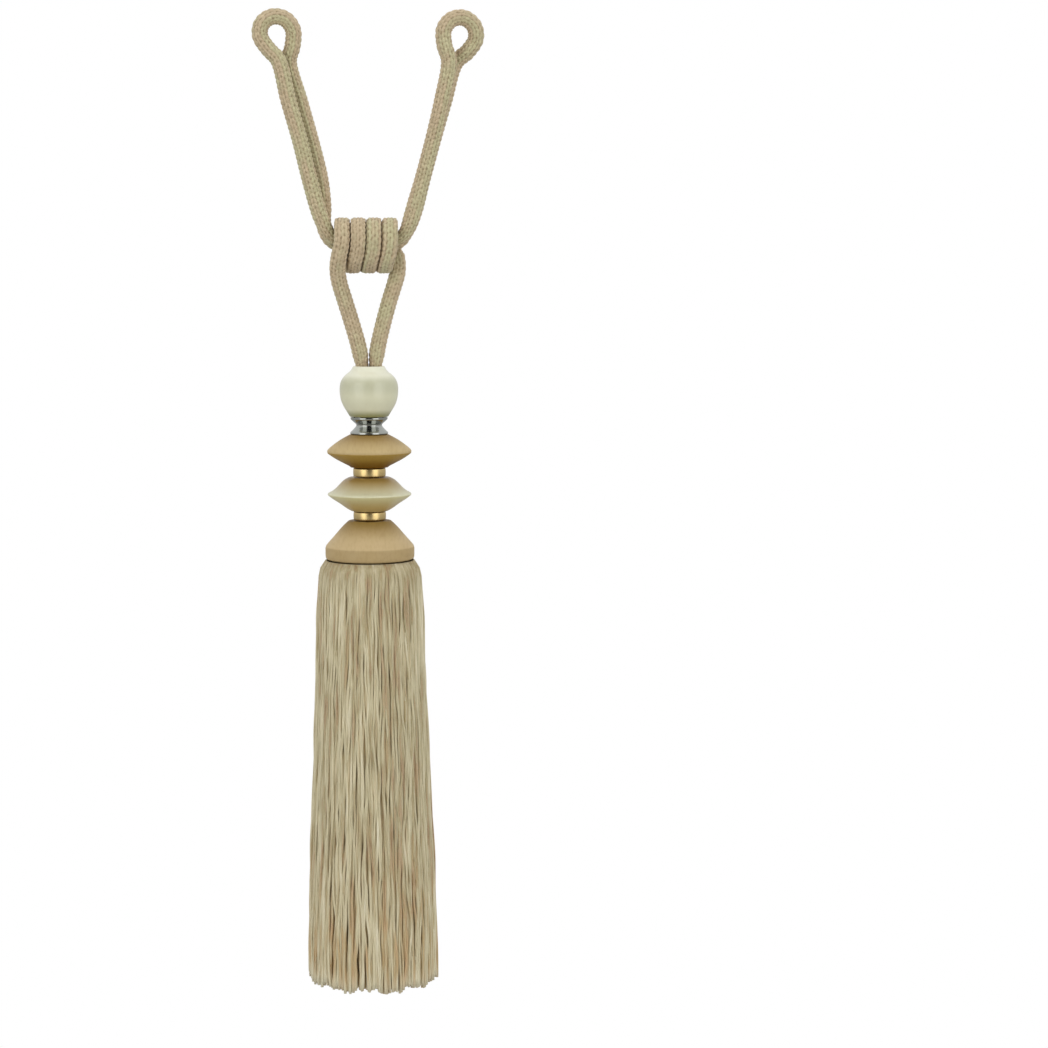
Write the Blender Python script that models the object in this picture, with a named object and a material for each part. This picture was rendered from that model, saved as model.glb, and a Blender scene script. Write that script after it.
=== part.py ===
"""Curtain tieback with one yarn tassel, hanging as it does from its two wall hooks.

A plaited embrace cord makes two doubled arms, each closed by an eye. A hanger cord is
wrapped round the middle of the embrace and its two legs run down through a stack of
turned beads, which carries the tassel's skirt of hanging yarn locks.

Metres, +Z up, +X to the viewer's right, the viewer on the -Y side. The origin lies on
the line from which both eyes hang, over the middle of the tassel.
"""
import math
import random

import bmesh
import bpy
from mathutils import Vector

MM = 0.001
GAP = 0.3 * MM                  # clearance between neighbouring pieces

# Cord
CORD = 7.4 * MM                 # diameter of the plaited cord where it hangs free
WRAPPED_RADIUS = 3.4 * MM       # the hanger cord's radius where it is wrapped tight
CORD_SIDES_RESOLUTION = 3       # a curve's bevel resolution: ten sides
STEP_LIMIT = 2.5 * CORD         # longest step between two rings of a cord
TURN_LIMIT = math.radians(26.0)  # sharpest corner between two steps of a cord

# Knot: four turns of the hanger cord round the two runs of the embrace cord
KNOT_Z = -99.33 * MM
KNOT_FOOT = -112.0 * MM         # below this the hanger cord swells to its full diameter
LANE_Y = 3.03 * MM              # each run of the embrace lies this far off the middle
LANE_Z = -0.98 * MM             # the front run a little higher than the back run
SQUEEZED_RADIUS = 2.95 * MM     # a run of the embrace, pressed inside the wraps
SQUEEZED_TO = 14.0 * MM         # half-width over which it stays pressed
RELAXED_FROM = 22.0 * MM        # and where it is full again
WRAP_RADIUS = SQUEEZED_RADIUS + WRAPPED_RADIUS + 0.85 * MM   # from a run's centre to the wrap's
WRAP_SAG = 2.4 * MM             # how much slacker the turns hang under the runs
TURN_X = (-11.8, -4.4, 2.8, 10.1)   # millimetres: where each turn crosses the front
POINTS_A_TURN = 12
SHIFT_FROM = 0.41               # share of a turn where the cord starts to move sideways
SHIFT_TO = 0.95

# Stack of beads, from the top down: outline radii and depths in millimetres
BORE = 4.4 * MM
STACK_TOP = -156.2 * MM
BEAD_MOUTH = 6.4 * MM           # funnel in the bead's top that takes both legs
BEAD_FUNNEL = 9.0 * MM

BEAD_OUTLINE = (
    (7.3, 0.0), (8.5, 2.3), (11.0, 4.0), (12.7, 6.2), (13.5, 8.4), (13.7, 11.6),
    (13.2, 15.4), (12.1, 18.3), (10.4, 21.0), (8.9, 23.45),
)
SPOOL_OUTLINE = (
    (8.7, 0.0), (8.6, 0.9), (7.2, 2.2), (5.9, 3.3), (6.0, 4.1), (7.2, 5.5), (8.8, 7.0), (8.9, 7.75),
)
DISC_UPPER_OUTLINE = (
    (9.0, 0.0), (13.8, 2.6), (17.7, 5.5), (19.3, 7.0), (19.7, 7.7),
    (19.5, 8.7), (16.4, 11.0), (11.7, 13.5), (9.3, 14.7), (8.8, 15.3),
)
DISC_LOWER_OUTLINE = (
    (9.6, 0.0), (12.0, 1.2), (14.0, 3.3), (16.6, 6.0), (19.3, 7.4), (19.6, 8.1),
    (17.6, 9.8), (13.9, 12.1), (10.9, 14.4), (8.6, 15.7),
)
CAP_OUTLINE = (
    (9.9, 0.0), (12.9, 2.8), (16.4, 7.0), (19.2, 10.1), (20.5, 11.7),
    (20.8, 12.8), (20.8, 16.9), (20.5, 17.7), (19.8, 18.1),
)
RING_UPPER = (7.6, 4.1)         # outer radius and height, millimetres
RING_LOWER = (7.6, 4.0)
RING_EDGE = 0.6                 # rounding of a ring's edges, millimetres
TURNED_SIDES = 36
RING_SIDES = 24

# Skirt
SKIRT_LENGTH = 198.0 * MM
BACKING_THICKNESS = 1.6 * MM
LOCK_GAP = 0.38 * MM            # between locks at their roots; it grows as they spread
LENGTH_SPREAD = 2.2 * MM        # how unevenly the locks are cut
# rows of locks: how many, and the row's inner and outer edge as shares of the skirt's radius
LOCK_ROWS = (
    (60, 0.905, 1.0), (54, 0.79, 0.885), (46, 0.675, 0.77), (40, 0.56, 0.655),
    (34, 0.445, 0.54), (27, 0.325, 0.425), (20, 0.205, 0.305), (12, 0.08, 0.185),
)
# outer radius of the skirt at each depth below the backing, millimetres
SKIRT_FLARE = (
    (0.0, 21.2), (2.2, 23.1), (6.0, 24.1), (12.0, 24.7), (24.0, 25.5), (60.0, 26.5),
    (100.0, 28.1), (140.0, 30.0), (176.0, 30.9), (198.0, 31.1),
)
OUTER_SECTIONS = (2.2, 12.0, 60.0, 140.0, 198.0)     # depths of an outer lock's sections
INNER_SECTIONS = (9.0, 100.0, 198.0)
CORE_SECTIONS = (9.0, 198.0)

# Routes of the embrace cord's two arms, (x, y, z) in millimetres, from the knot's middle out,
# up one run, round the eye and down the other run into the knot
LEFT_ARM = (
    (-8.0, -3.03, -98.35), (-12.3, -3.05, -98.5), (-16.1, -3.2, -97.0), (-19.1, -3.7, -93.4),
    (-21.1, -3.75, -88.9), (-22.8, -3.5, -84.1),
    (-26.5, -3.1, -70.6), (-30.9, -3.1, -52.4), (-36.0, -3.1, -34.2), (-40.4, -3.1, -16.4),
    (-44.7, -2.6, -11.6), (-48.5, -2.0, -5.6), (-47.7, -1.2, 0.0), (-43.0, 0.0, 3.4),
    (-37.2, 1.2, 2.5), (-33.7, 2.0, -2.2), (-33.9, 2.6, -9.3), (-35.7, 3.1, -16.4),
    (-30.9, 3.1, -34.2), (-25.9, 3.1, -52.4), (-21.6, 3.2, -70.6), (-20.3, 3.5, -83.0),
    (-20.5, 3.85, -89.4), (-19.3, 3.85, -94.6), (-16.5, 3.4, -98.7), (-12.2, 3.05, -100.3),
    (-6.0, 3.03, -100.3),
)
RIGHT_ARM = (
    (6.0, 3.03, -100.3), (11.0, 3.05, -100.3), (15.0, 3.4, -98.4), (17.8, 3.85, -94.0),
    (20.2, 3.95, -86.6), (25.2, 3.9, -70.6), (30.3, 3.9, -52.4), (35.6, 3.9, -34.2),
    (41.0, 3.8, -16.4), (46.4, 3.1, -11.6), (50.2, 2.3, -5.8), (49.4, 1.2, -0.2),
    (44.7, 0.0, 3.4), (39.0, -1.2, 2.5), (35.4, -2.3, -2.2), (35.6, -3.1, -9.3),
    (37.6, -3.8, -16.4), (34.4, -3.9, -34.2), (30.1, -3.9, -52.4), (25.2, -3.9, -70.6),
    (21.9, -3.9, -83.6), (19.8, -3.85, -90.0), (17.7, -3.7, -94.2), (14.9, -3.3, -97.0),
    (11.4, -3.03, -98.3), (6.5, -3.03, -98.35),
)
# Routes of the hanger cord's legs between the bead and the knot
LEFT_LEG = (
    (-3.05, 0.0, -156.2), (-4.7, -0.4, -147.0), (-8.1, -1.2, -134.8), (-10.9, -2.2, -125.6),
    (-13.4, -3.6, -117.0), (-14.1, -5.8, -110.8), (-13.3, -9.1, -105.6),
)
RIGHT_LEG = (
    (13.7, 7.7, -107.2), (13.8, 6.5, -112.2), (12.5, 4.9, -117.4), (9.9, 3.2, -125.6),
    (7.3, 2.0, -134.8), (4.4, 0.8, -147.0), (3.05, 0.0, -156.2),
)
LEG_SLIM_RADIUS = 1.85 * MM     # each leg, drawn tight inside the bores
LEG_SLIM_X = 2.15 * MM
LEG_DRAWN_ABOVE = 6.6 * MM      # a leg starts to narrow this far above the bead
LEG_DRAWN_INSIDE = 6.0 * MM     # and is slim this far inside it


def clear_scene():
    """Removes every object of the open scene."""
    for obj in list(bpy.data.objects):
        bpy.data.objects.remove(obj, do_unlink=True)


def finish(name, colour, roughness, metallic=0.0):
    """Makes a plain material of one colour."""
    material = bpy.data.materials.new(name)
    material.use_nodes = True
    shader = material.node_tree.nodes["Principled BSDF"]
    shader.inputs["Base Color"].default_value = (*colour, 1.0)
    shader.inputs["Roughness"].default_value = roughness
    shader.inputs["Metallic"].default_value = metallic
    return material


def add_mesh(name, bm, material, smooth_angle=35.0):
    """Puts a finished bmesh into the scene as a named object."""
    bmesh.ops.recalc_face_normals(bm, faces=bm.faces)
    mesh = bpy.data.meshes.new(name)
    bm.to_mesh(mesh)
    bm.free()
    mesh.shade_smooth()
    mesh.set_sharp_from_angle(angle=math.radians(smooth_angle))
    mesh.materials.append(material)
    obj = bpy.data.objects.new(name, mesh)
    bpy.context.collection.objects.link(obj)
    return obj


# ---------------------------------------------------------------- turned pieces

def turned(name, outline, bore, top, sides, material):
    """Spins a closed outline round Z; outline and bore hold (radius, depth) in millimetres."""
    bm = bmesh.new()
    ring = [bm.verts.new((radius * MM, 0.0, top - depth * MM)) for radius, depth in (*outline, *bore)]
    edges = [bm.edges.new((ring[i - 1], ring[i])) for i in range(len(ring))]
    bmesh.ops.spin(
        bm, geom=ring + edges, cent=(0, 0, 0), axis=(0, 0, 1), angle=math.tau,
        steps=sides, use_merge=True, use_duplicate=False,
    )
    bmesh.ops.remove_doubles(bm, verts=bm.verts, dist=GAP / 100)
    return add_mesh(name, bm, material)


def straight_bore(height):
    """The bore's two corners, from the bottom up, for a piece of that height."""
    return ((BORE / MM, height), (BORE / MM, 0.0))


def ring_outline(radius, height):
    """Outline of a plain ring with rounded edges."""
    edge = RING_EDGE
    return (
        (radius - edge, 0.0), (radius, edge), (radius, height - edge), (radius - edge, height),
    )


def build_stack(ivory, chrome, wood, cream, brass):
    """Builds the beads from the top down and returns the height under the cap."""
    mouth = ((BORE / MM, BEAD_OUTLINE[-1][1]), (BORE / MM, BEAD_FUNNEL / MM), (BEAD_MOUTH / MM, 0.0))
    pieces = (
        ("bead", BEAD_OUTLINE, mouth, TURNED_SIDES, ivory),
        ("spool", SPOOL_OUTLINE, None, TURNED_SIDES, chrome),
        ("disc_upper", DISC_UPPER_OUTLINE, None, TURNED_SIDES, wood),
        ("ring_upper", ring_outline(*RING_UPPER), None, RING_SIDES, brass),
        ("disc_lower", DISC_LOWER_OUTLINE, None, TURNED_SIDES, cream),
        ("ring_lower", ring_outline(*RING_LOWER), None, RING_SIDES, brass),
        ("cap", CAP_OUTLINE, None, TURNED_SIDES, wood),
    )
    top = STACK_TOP
    for name, outline, bore, sides, material in pieces:
        height = outline[-1][1]
        turned(name, outline, bore or straight_bore(height), top, sides, material)
        top -= height * MM + GAP
    return top


# ---------------------------------------------------------------- cords

def smooth_curve(points, steps=12):
    """Reads a centripetal Catmull-Rom curve through the points, as a fine polyline."""
    ends = [2 * points[0] - points[1], *points, 2 * points[-1] - points[-2]]
    line = []
    for a, b, c, d in zip(ends, ends[1:], ends[2:], ends[3:]):
        t1 = math.sqrt((b - a).length)
        t2 = t1 + math.sqrt((c - b).length)
        t3 = t2 + math.sqrt((d - c).length)
        for k in range(steps):
            t = t1 + (t2 - t1) * k / steps
            ab = a.lerp(b, t / t1)
            bc = b.lerp(c, (t - t1) / (t2 - t1))
            cd = c.lerp(d, (t - t2) / (t3 - t2))
            early = ab.lerp(bc, t / t2)
            late = bc.lerp(cd, (t - t1) / (t3 - t1))
            line.append(early.lerp(late, (t - t1) / (t2 - t1)))
    line.append(points[-1].copy())
    return line


def spaced(line, close=None):
    """Keeps the points of a fine polyline that its bends and length call for.

    Between the two heights of close, where a cord narrows, the steps are shorter.
    """
    kept = [line[0]]
    heading = line[1] - line[0]
    for here, ahead in zip(line[1:], line[2:]):
        step = ahead - here
        narrowing = close is not None and close[0] < here.z < close[1]
        limit = STEP_LIMIT / 4 if narrowing else STEP_LIMIT
        if step.angle(heading) > TURN_LIMIT or (here - kept[-1]).length > limit:
            kept.append(here)
            heading = step
    kept.append(line[-1])
    return kept


def cord_tube(name, line, radii, material):
    """Makes a cord as a round tube with closed ends along the polyline."""
    curve = bpy.data.curves.new(name, "CURVE")
    curve.dimensions = "3D"
    curve.bevel_depth = CORD / 2
    curve.bevel_resolution = CORD_SIDES_RESOLUTION
    curve.use_fill_caps = True
    spline = curve.splines.new("POLY")
    spline.points.add(len(line) - 1)
    for point, place, radius in zip(spline.points, line, radii):
        point.co = (*place, 1.0)
        point.radius = radius / (CORD / 2)
    curve.materials.append(material)
    obj = bpy.data.objects.new(name, curve)
    bpy.context.collection.objects.link(obj)
    return obj


def in_metres(table):
    """Turns a table of millimetre triples into vectors in metres."""
    return [Vector(row) * MM for row in table]


def wrap_point(turn, share):
    """Centre of the wrapping cord, a share of a turn past the front of the given turn.

    The cord goes up the front, over the top, down the back and under to the next turn. It
    keeps WRAP_RADIUS off the nearer of the two runs that it holds, and a little more below.
    """
    runs = Vector((LANE_Y, LANE_Z)).normalized()
    angle = math.pi - math.tau * share
    outwards = Vector((math.cos(angle), math.sin(angle)))
    side = 1.0 if outwards.dot(runs) > 0 else -1.0
    y = side * LANE_Y + outwards.x * WRAP_RADIUS
    z = KNOT_Z + side * LANE_Z + outwards.y * WRAP_RADIUS - WRAP_SAG * max(-outwards.y, 0.0) ** 2
    pitch = TURN_X[turn + 1] - TURN_X[turn] if turn + 1 < len(TURN_X) else TURN_X[-1] - TURN_X[-2]
    moved = pitch * ramp(share, SHIFT_FROM, SHIFT_TO)
    return Vector(((TURN_X[turn] + moved) * MM, y, z))


def knot_turns():
    """Centres of the hanger cord through all turns, up to where it leaves down the back."""
    last = len(TURN_X) - 1
    points = []
    for turn in range(last + 1):
        steps = POINTS_A_TURN if turn < last else POINTS_A_TURN // 2 + 2
        points += [wrap_point(turn, k / POINTS_A_TURN) for k in range(steps)]
    return points


def ramp(value, low, high):
    """Runs from 0 to 1 as the value goes from low to high."""
    return min(max((value - low) / (high - low), 0.0), 1.0)


def hanger_radius(z):
    """The hanger cord's radius: tight in the knot, full on the legs, slim in the bores."""
    free = WRAPPED_RADIUS + (CORD / 2 - WRAPPED_RADIUS) * ramp(z, KNOT_FOOT, KNOT_FOOT - CORD)
    drawn = ramp(z, STACK_TOP + LEG_DRAWN_ABOVE, STACK_TOP - LEG_DRAWN_INSIDE)
    return free + (LEG_SLIM_RADIUS - free) * drawn


def build_hanger_cord(bottom, material):
    """One cord: up the left leg, four turns round the embrace, down the right leg."""
    inside = STACK_TOP - BEAD_FUNNEL
    left_end = [
        Vector((-LEG_SLIM_X, 0.0, bottom)), Vector((-LEG_SLIM_X, 0.0, inside - BEAD_FUNNEL)),
        Vector((-LEG_SLIM_X, 0.0, inside)),
    ]
    right_end = [Vector((-p.x, p.y, p.z)) for p in reversed(left_end)]
    points = left_end + in_metres(LEFT_LEG) + knot_turns() + in_metres(RIGHT_LEG) + right_end
    narrowing = (inside - BEAD_FUNNEL / 2, STACK_TOP + BEAD_FUNNEL)
    line = spaced(smooth_curve(points), close=narrowing)
    return cord_tube("hanger_cord", line, [hanger_radius(p.z) for p in line], material)


def run_radius(x):
    """The embrace cord's radius: pressed inside the knot, full outside it."""
    return SQUEEZED_RADIUS + (CORD / 2 - SQUEEZED_RADIUS) * ramp(abs(x), SQUEEZED_TO, RELAXED_FROM)


def build_embrace_cord(material):
    """One cord: both arms with their eyes, its two ends meeting inside the knot."""
    start = Vector((-0.8 * MM - GAP, -LANE_Y, KNOT_Z - LANE_Z))
    end = Vector((-0.8 * MM + GAP, -LANE_Y, KNOT_Z - LANE_Z))
    points = [start, *in_metres(LEFT_ARM), *in_metres(RIGHT_ARM), end]
    line = spaced(smooth_curve(points))
    return cord_tube("embrace_cord", line, [run_radius(p.x) for p in line], material)


# ---------------------------------------------------------------- skirt

def flare(depth):
    """The skirt's outer radius at a depth below its backing."""
    rows = [(d * MM, r * MM) for d, r in SKIRT_FLARE]
    for (above, r_above), (below, r_below) in zip(rows, rows[1:]):
        if depth <= below:
            return r_above + (r_below - r_above) * (depth - above) / (below - above)
    return rows[-1][1]


def hang(share, angle, depth, top):
    """Where a point of the backing's underside gets to at a depth down the skirt.

    The whole skirt swells unevenly round its girth, and neighbours move together, so
    locks never cross.
    """
    grown = depth / SKIRT_LENGTH
    swell = 0.012 * math.sin(5 * angle + 1.0) + 0.009 * math.sin(11 * angle + 2.5)
    drift = 0.014 * math.sin(7 * angle + 0.4) + 0.010 * math.sin(3 * angle + 5.0)
    radius = share * flare(depth) * (1 + swell * grown)
    turned_by = angle + drift * grown
    return Vector((radius * math.cos(turned_by), radius * math.sin(turned_by), top - depth))


def lock_ring(bm, share, row_count, gap_share, top):
    """Ring of vertices at a share of the radius, two for each lock of the row."""
    verts = []
    for k in range(row_count):
        for edge in (gap_share, 1 - gap_share):
            verts.append(bm.verts.new(hang(share, math.tau * (k + edge) / row_count, 0.0, top)))
    return verts


def ring_edges(bm, verts):
    """The closed chain of edges round a ring of vertices, made where it is missing."""
    pairs = zip(verts, verts[1:] + verts[:1])
    return [bm.edges.get(pair) or bm.edges.new(pair) for pair in pairs]


def grow_locks(bm, faces, sections, top, rng):
    """Draws each root face of one row down through the given depths."""
    roots = {}
    for face in faces:
        cut = rng.uniform(-LENGTH_SPREAD, LENGTH_SPREAD)
        roots[face] = ([(v.co.to_2d().length / flare(0.0), math.atan2(v.co.y, v.co.x))
                        for v in face.verts], cut)
    tips = {face: face for face in faces}
    for depth in sections:
        last = depth == sections[-1]
        for root, tip in tips.items():
            grown = bmesh.ops.extrude_discrete_faces(bm, faces=[tip])["faces"][0]
            corners, cut = roots[root]
            reach = depth * MM + (cut if last else 0.0)
            for vert, (share, angle) in zip(grown.verts, corners):
                vert.co = hang(share, angle, reach, top)
            tips[root] = grown


def build_skirt(head_top, material):
    """Hanging locks, fused at their roots to a thin round backing under the cap."""
    rng = random.Random(11)
    top = head_top - BACKING_THICKNESS
    bm = bmesh.new()
    rows = []
    outer_above = None
    for count, inner, outer in LOCK_ROWS:
        width = math.tau * (inner + outer) / 2 * flare(0.0) / count
        gap_share = LOCK_GAP / 2 / width
        outer_ring = lock_ring(bm, outer, count, gap_share, top)
        inner_ring = lock_ring(bm, inner, count, gap_share, top)
        faces = []
        for k in range(2 * count):
            following = (k + 1) % (2 * count)
            quad = (outer_ring[k], inner_ring[k], inner_ring[following], outer_ring[following])
            face = bm.faces.new(quad)
            if k % 2 == 0:
                faces.append(face)
        rows.append(faces)
        if outer_above:
            loops = ring_edges(bm, outer_above) + ring_edges(bm, outer_ring)
            bmesh.ops.bridge_loops(bm, edges=loops)
        else:
            rim = outer_ring
        outer_above = inner_ring
    bm.faces.new(outer_above)
    upper = [bm.verts.new(vert.co + Vector((0, 0, BACKING_THICKNESS))) for vert in rim]
    for k, vert in enumerate(rim):
        bm.faces.new((vert, rim[k - 1], upper[k - 1], upper[k]))
    bm.faces.new(upper)
    bm.normal_update()
    for index, faces in enumerate(rows):
        sections = OUTER_SECTIONS if index == 0 else INNER_SECTIONS if index < 3 else CORE_SECTIONS
        grow_locks(bm, faces, sections, top, rng)
    return add_mesh("skirt", bm, material, smooth_angle=50.0)


def build():
    """Builds every piece of the tieback."""
    clear_scene()
    cord = finish("cord_yarn", (0.43, 0.36, 0.21), 0.85)
    yarn = finish("skirt_yarn", (0.45, 0.37, 0.22), 0.8)
    ivory = finish("ivory_lacquer", (0.70, 0.69, 0.54), 0.3)
    cream = finish("cream_lacquer", (0.62, 0.58, 0.36), 0.35)
    wood = finish("beech", (0.50, 0.39, 0.21), 0.5)
    brass = finish("brass", (0.78, 0.60, 0.28), 0.25, metallic=1.0)
    chrome = finish("chrome", (0.55, 0.56, 0.54), 0.15, metallic=1.0)
    under_cap = build_stack(ivory, chrome, wood, cream, brass)
    build_skirt(under_cap, yarn)
    build_hanger_cord(under_cap + GAP, cord)
    build_embrace_cord(cord)


build()
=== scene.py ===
"""Looks of a curtain tieback tassel: knitted cords, turned beads and a skirt of soft yarn.

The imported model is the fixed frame. Every piece here stands for one of its nodes and stays
in that node's place. Metres, +Z up, the viewer on the -Y side.
"""
import logging
import math
import random
from collections.abc import Callable, Sequence
from dataclasses import dataclass, field
from enum import Enum
from functools import partialmethod

import bmesh
import bpy
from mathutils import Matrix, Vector
from mathutils.kdtree import KDTree


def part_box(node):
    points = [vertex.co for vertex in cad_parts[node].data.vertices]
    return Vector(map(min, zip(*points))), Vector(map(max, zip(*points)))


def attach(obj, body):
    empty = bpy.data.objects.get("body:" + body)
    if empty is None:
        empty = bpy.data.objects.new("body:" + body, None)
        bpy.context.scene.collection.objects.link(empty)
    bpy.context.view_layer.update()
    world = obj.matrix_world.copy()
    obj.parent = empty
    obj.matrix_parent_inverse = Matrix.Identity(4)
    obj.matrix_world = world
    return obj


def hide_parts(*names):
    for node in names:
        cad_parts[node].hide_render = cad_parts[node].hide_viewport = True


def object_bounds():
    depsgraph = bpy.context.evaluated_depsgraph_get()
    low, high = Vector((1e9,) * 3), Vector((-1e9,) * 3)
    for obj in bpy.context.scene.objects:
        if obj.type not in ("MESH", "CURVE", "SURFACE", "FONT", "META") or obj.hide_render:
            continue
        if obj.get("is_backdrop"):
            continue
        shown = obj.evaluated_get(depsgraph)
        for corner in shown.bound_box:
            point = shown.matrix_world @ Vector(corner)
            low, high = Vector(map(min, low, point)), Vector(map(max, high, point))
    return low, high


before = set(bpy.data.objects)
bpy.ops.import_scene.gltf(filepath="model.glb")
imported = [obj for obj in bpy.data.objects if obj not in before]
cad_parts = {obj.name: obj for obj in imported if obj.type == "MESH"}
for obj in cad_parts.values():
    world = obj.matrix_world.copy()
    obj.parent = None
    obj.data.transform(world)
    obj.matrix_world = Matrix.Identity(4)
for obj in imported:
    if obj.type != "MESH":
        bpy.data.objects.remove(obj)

MM = 0.001
WELD = 0.001 * MM  # vertices nearer than this are one
BODY = "root"
TUBE_MAP = "along"  # UV map of a roll of tubes
CROWDED = "crowded"  # vertex attribute: 1 where another run of cord lies close, for the painted shade there
Triple = tuple[float, float, float]
Triples = tuple[Triple, ...]
Colour = Triple
HAIR: Colour = (0.84, 0.80, 0.64)  # pale loose fibre of any of the yarns

log = logging.getLogger("tieback")


class Slot(Enum):
    """Material slots."""

    CORD = "cord_yarn"
    SKIRT = "skirt_yarn"
    IVORY = "ivory_lacquer"
    CREAM = "cream_lacquer"
    WOOD = "beech"
    BRASS = "brass"
    CHROME = "chrome"


# ----- shader writing

@dataclass(frozen=True)
class Value:
    """A node's output, on which Python arithmetic adds Math nodes."""

    writer: "ShaderWriter"
    socket: bpy.types.NodeSocket

    def _math(self, operation: str, *others: "Value | float") -> "Value":
        """Adds one Math node, with this value as its first operand, and returns its result."""
        terms = dict(enumerate((self, *others)))
        return self.writer.node("Math", {"operation": operation}, terms)

    __add__ = partialmethod(_math, "ADD")
    __mul__ = partialmethod(_math, "MULTIPLY")
    whole = partialmethod(_math, "FLOOR")  # the whole number below the value
    part = partialmethod(_math, "FRACT")  # and what is left above that

    def __rsub__(self, other: float) -> "Value":
        """Returns other - self."""
        return self * -1.0 + other

    def wave(self) -> "Value":
        """Returns the sine of a value in whole turns, from -1 to 1."""
        return (self * math.tau)._math("SINE")

    def hump(self) -> "Value":
        """Returns 0 at whole numbers and 1 half-way between them, along a half sine."""
        return (self.part() * math.pi)._math("SINE")

    def between(self, low: float, high: float) -> "Value":
        """Returns a smooth step from 0 at the low value to 1 at the high one."""
        settings = {"interpolation_type": "SMOOTHSTEP"}
        return self.writer.node("MapRange", settings, {0: self, 1: low, 2: high})


class ShaderWriter:
    """Writes the nodes of one material or world."""

    def __init__(self, tree: bpy.types.NodeTree) -> None:
        """Starts from an empty tree."""
        tree.nodes.clear()
        self.tree = tree

    def node(
        self, kind: str, settings: dict | None = None, inputs: dict | None = None,
        output: int | str | None = 0,
    ) -> Value | None:
        """Adds a node.

        Args:
            kind: the node's type, without the ShaderNode that it starts with.
            settings: the node's own properties, and "stops" for a ramp's places and colours.
            inputs: value or link for each socket, by its name or number.
            output: the output wanted, or None where the node has none.

        Returns:
            That output.
        """
        made = self.tree.nodes.new(f"ShaderNode{kind}")
        for key, setting in (settings or {}).items():
            if key == "stops":
                self._set_stops(made.color_ramp, setting)
            else:
                setattr(made, key, setting)
        for key, given in (inputs or {}).items():
            if isinstance(given, Value):
                self.tree.links.new(given.socket, made.inputs[key])
            else:
                made.inputs[key].default_value = given
        return None if output is None else Value(self, made.outputs[output])

    @staticmethod
    def _set_stops(ramp: bpy.types.ColorRamp, stops: Sequence[tuple[float, Colour]]) -> None:
        """Gives a ramp its stops, which are places from 0 to 1 with a colour each."""
        while len(ramp.elements) < len(stops):
            ramp.elements.new(1.0)
        for element, (place, colour) in zip(ramp.elements, stops):
            element.position = place
            element.color = (*colour, 1.0)

    def blend(self, share: Value | float, *ends: Value | Colour, how: str = "MIX") -> Value:
        """Returns the blend of two colours, where a share of 0 is the first and 1 the second."""
        six, seven = (end if isinstance(end, Value) else (*end, 1.0) for end in ends)
        settings = {"data_type": "RGBA", "blend_type": how}
        return self.node("Mix", settings, {0: share, 6: six, 7: seven}, output=2)

    def axis(self, vector: Value, name: str) -> Value:
        """Returns one axis of a vector."""
        return self.node("SeparateXYZ", None, {0: vector}, output=name)

    def places(self) -> Value:
        """Returns the Object coordinates, in metres."""
        return self.node("TexCoord", output="Object")

    def tube_map(self) -> tuple[Value, Value]:
        """Returns the shares of the way round a whole roll of tubes and along each tube."""
        at = self.node("UVMap", {"uv_map": TUBE_MAP})
        return self.axis(at, "X"), self.axis(at, "Y")

    def stretched(self, vector: Value, scale: Triple) -> Value:
        """Returns a vector scaled along each axis."""
        return self.node("Mapping", None, {"Vector": vector, "Scale": scale})

    def flattened(self, vector: Value) -> Value:
        """Returns a vector without its height."""
        inputs = {0: vector, 1: (1.0, 1.0, 0.0)}
        return self.node("VectorMath", {"operation": "MULTIPLY"}, inputs)

    def noise(self, vector: Value, scale: float, detail: float = 2.0) -> Value:
        """Returns soft noise about 0.5, of the given grain in one over metres."""
        inputs = {"Vector": vector, "Scale": scale, "Detail": detail}
        return self.node("TexNoise", None, inputs)

    def lottery(self, number: Value) -> Value:
        """Returns a random number from 0 to 1 for each whole number."""
        return self.node("TexWhiteNoise", {"noise_dimensions": "1D"}, {"W": number})

    def bump(self, height: Value, depth: float = 1.0) -> Value:
        """Returns the normal of a relief, where a relief of 1 is as many metres deep as depth."""
        inputs = {"Height": height, "Distance": depth, "Strength": 1.0}
        return self.node("Bump", None, inputs)

    def end(self, surface: Value, kind: str = "Material") -> None:
        """Ends the tree of a material or world in its surface."""
        self.node(f"Output{kind}", None, {"Surface": surface}, output=None)

    def surface(self, **sockets: Value | float | tuple[float, ...]) -> None:
        """Ends a material in a Principled shader, whose sockets are named with underscores."""
        named = {key.replace("_", " "): given for key, given in sockets.items()}
        self.end(self.node("BsdfPrincipled", None, named))


# ----- finishes

@dataclass(frozen=True)
class Finish:
    """A material, whose nodes each kind of finish writes in its own way."""

    name: str

    def write(self, shader: ShaderWriter) -> None:
        """Writes the material's nodes."""
        raise NotImplementedError

    def make(self) -> bpy.types.Material:
        """Returns the material."""
        material = bpy.data.materials.new(self.name)
        material.use_nodes = True
        self.write(ShaderWriter(material.node_tree))
        return material


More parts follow.
